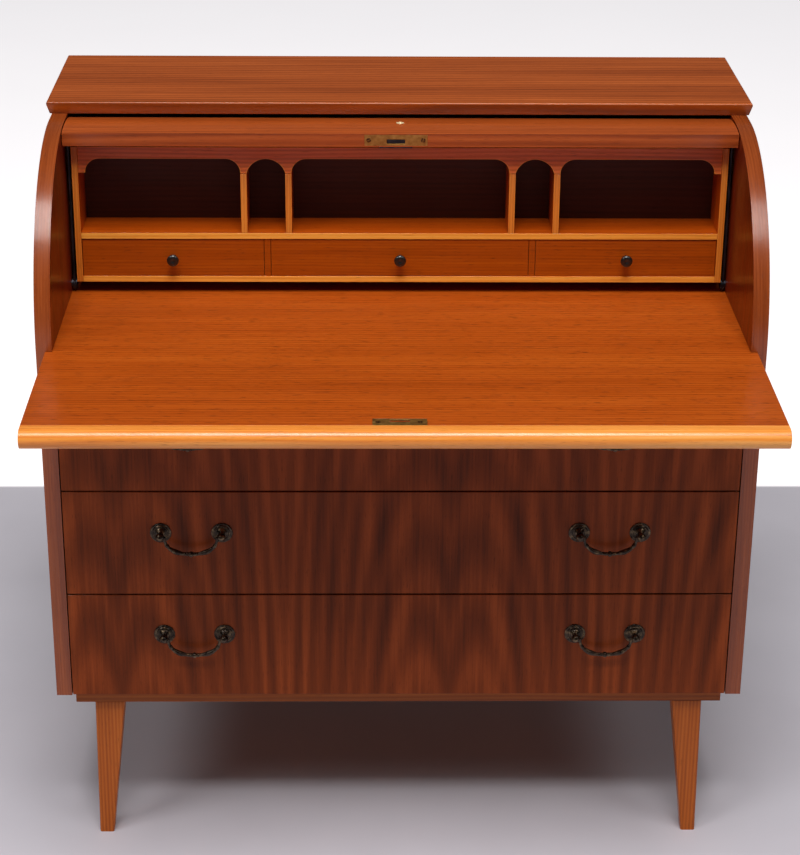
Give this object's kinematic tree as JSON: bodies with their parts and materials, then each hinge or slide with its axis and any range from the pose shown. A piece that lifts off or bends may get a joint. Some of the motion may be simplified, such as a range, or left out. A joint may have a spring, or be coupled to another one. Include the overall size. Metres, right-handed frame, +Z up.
{
  "type": "roll top desk",
  "caption": "Roll top desk with curved sides, a solid quarter-round roll, a pull-out writing board, a pigeonhole unit, drawers with bail pulls and tapered legs.",
  "frame": {"origin": "on the floor, at the middle of the desk's box with the writing board pulled out", "axes": "+X to the sitter's right, +Y from the sitter into the desk, +Z up"},
  "size_m": [1.003, 0.8138, 1.049],
  "materials": {
    "side_veneer": "satin",
    "top_veneer": "satin",
    "inner_ply": "matte",
    "inner_beech": "matte",
    "frame_wood": "satin",
    "leg_wood": "satin",
    "unit_veneer": "satin",
    "valance_veneer": "satin",
    "steel": "satin",
    "board_veneer": "satin",
    "lipping_wood": "satin",
    "lock_brass": "aged",
    "roll_veneer": "satin",
    "front_veneer": "satin",
    "drawer_wood": "matte",
    "pull_brass": "antique",
    "small_front_veneer": "satin",
    "black_lacquer": "gloss"
  },
  "bodies": {
    "carcass": {"side_left": "side_veneer", "side_right": "side_veneer", "top_board": "top_veneer", "deck_board": "inner_ply", "bottom_board": "inner_ply", "back_panel": "inner_ply", "drawer_rails": "inner_beech", "drawer_runners": "inner_beech", "leg_frame": "frame_wood", "corner_blocks": "inner_beech", "leg_front_left": "leg_wood", "leg_front_right": "leg_wood", "leg_rear_left": "leg_wood", "leg_rear_right": "leg_wood", "unit_sides": "unit_veneer", "unit_bottom": "unit_veneer", "unit_shelf": "unit_veneer", "unit_top": "unit_veneer", "unit_back": "unit_veneer", "unit_spacers": "inner_beech", "unit_valance": "valance_veneer", "unit_walls": "unit_veneer", "unit_dividers": "unit_veneer", "pivot_pins": "steel"},
    "board": {"writing_board": "board_veneer", "front_lipping": "lipping_wood", "strike_plate": "lock_brass"},
    "roll": {"roll_shell": "roll_veneer", "roll_rail": "roll_veneer", "lock_plate": "lock_brass", "lock_case": "steel", "key_escutcheon": "lock_brass", "arm_left": "steel", "arm_right": "steel", "arm_screws": "steel"},
    "lock_bolt": {"lock_bolt": "steel"},
    "drawer_lower": {"drawer_lower_front": "front_veneer", "drawer_lower_box": "drawer_wood", "drawer_lower_posts": "pull_brass"},
    "bail_lower_left": {"bail_lower_left": "pull_brass"},
    "bail_lower_right": {"bail_lower_right": "pull_brass"},
    "drawer_middle": {"drawer_middle_front": "front_veneer", "drawer_middle_box": "drawer_wood", "drawer_middle_posts": "pull_brass"},
    "bail_middle_left": {"bail_middle_left": "pull_brass"},
    "bail_middle_right": {"bail_middle_right": "pull_brass"},
    "drawer_upper": {"drawer_upper_front": "front_veneer", "drawer_upper_box": "drawer_wood", "drawer_upper_posts": "pull_brass"},
    "bail_upper_left": {"bail_upper_left": "pull_brass"},
    "bail_upper_right": {"bail_upper_right": "pull_brass"},
    "small_left": {"small_left_front": "small_front_veneer", "small_left_box": "drawer_wood", "small_left_knob": "black_lacquer"},
    "small_middle": {"small_middle_front": "small_front_veneer", "small_middle_box": "drawer_wood", "small_middle_knob": "black_lacquer"},
    "small_right": {"small_right_front": "small_front_veneer", "small_right_box": "drawer_wood", "small_right_knob": "black_lacquer"}
  },
  "joints": [
    {"name": "board_slide", "type": "slide", "parent": "carcass", "child": "board", "axis": [0, 1, 0], "range_m": [0, 0.2454]},
    {"name": "roll_turn", "type": "hinge", "parent": "carcass", "child": "roll", "pos_m": [0, 0.10245, 0.792], "axis": [1, 0, 0], "range_deg": [0, 83]},
    {"name": "bolt_throw", "type": "slide", "parent": "roll", "child": "lock_bolt", "axis": [0, -0.9925, -0.1219], "range_m": [0, 0.007]},
    {"name": "drawer_lower_slide", "type": "slide", "parent": "carcass", "child": "drawer_lower", "axis": [0, -1, 0], "range_m": [0, 0.38]},
    {"name": "bail_lower_left_swing", "type": "hinge", "parent": "drawer_lower", "child": "bail_lower_left", "pos_m": [-0.293, -0.15255, 0.3475], "axis": [-1, 0, 0], "range_deg": [0, 85]},
    {"name": "bail_lower_right_swing", "type": "hinge", "parent": "drawer_lower", "child": "bail_lower_right", "pos_m": [0.293, -0.15255, 0.3475], "axis": [-1, 0, 0], "range_deg": [0, 85]},
    {"name": "drawer_middle_slide", "type": "slide", "parent": "carcass", "child": "drawer_middle", "axis": [0, -1, 0], "range_m": [0, 0.38]},
    {"name": "bail_middle_left_swing", "type": "hinge", "parent": "drawer_middle", "child": "bail_middle_left", "pos_m": [-0.293, -0.15255, 0.5088], "axis": [-1, 0, 0], "range_deg": [0, 85]},
    {"name": "bail_middle_right_swing", "type": "hinge", "parent": "drawer_middle", "child": "bail_middle_right", "pos_m": [0.293, -0.15255, 0.5088], "axis": [-1, 0, 0], "range_deg": [0, 85]},
    {"name": "drawer_upper_slide", "type": "slide", "parent": "carcass", "child": "drawer_upper", "axis": [0, -1, 0], "range_m": [0, 0.38]},
    {"name": "bail_upper_left_swing", "type": "hinge", "parent": "drawer_upper", "child": "bail_upper_left", "pos_m": [-0.293, -0.15255, 0.6701], "axis": [-1, 0, 0], "range_deg": [0, 85]},
    {"name": "bail_upper_right_swing", "type": "hinge", "parent": "drawer_upper", "child": "bail_upper_right", "pos_m": [0.293, -0.15255, 0.6701], "axis": [-1, 0, 0], "range_deg": [0, 85]},
    {"name": "small_left_slide", "type": "slide", "parent": "carcass", "child": "small_left", "axis": [0, -1, 0], "range_m": [0, 0.045]},
    {"name": "small_middle_slide", "type": "slide", "parent": "carcass", "child": "small_middle", "axis": [0, -1, 0], "range_m": [0, 0.045]},
    {"name": "small_right_slide", "type": "slide", "parent": "carcass", "child": "small_right", "axis": [0, -1, 0], "range_m": [0, 0.045]}
  ],
  "couplings": [
    {"joint": "roll_turn", "follows": "board_slide", "rad_per_m": 5.9031}
  ]
}
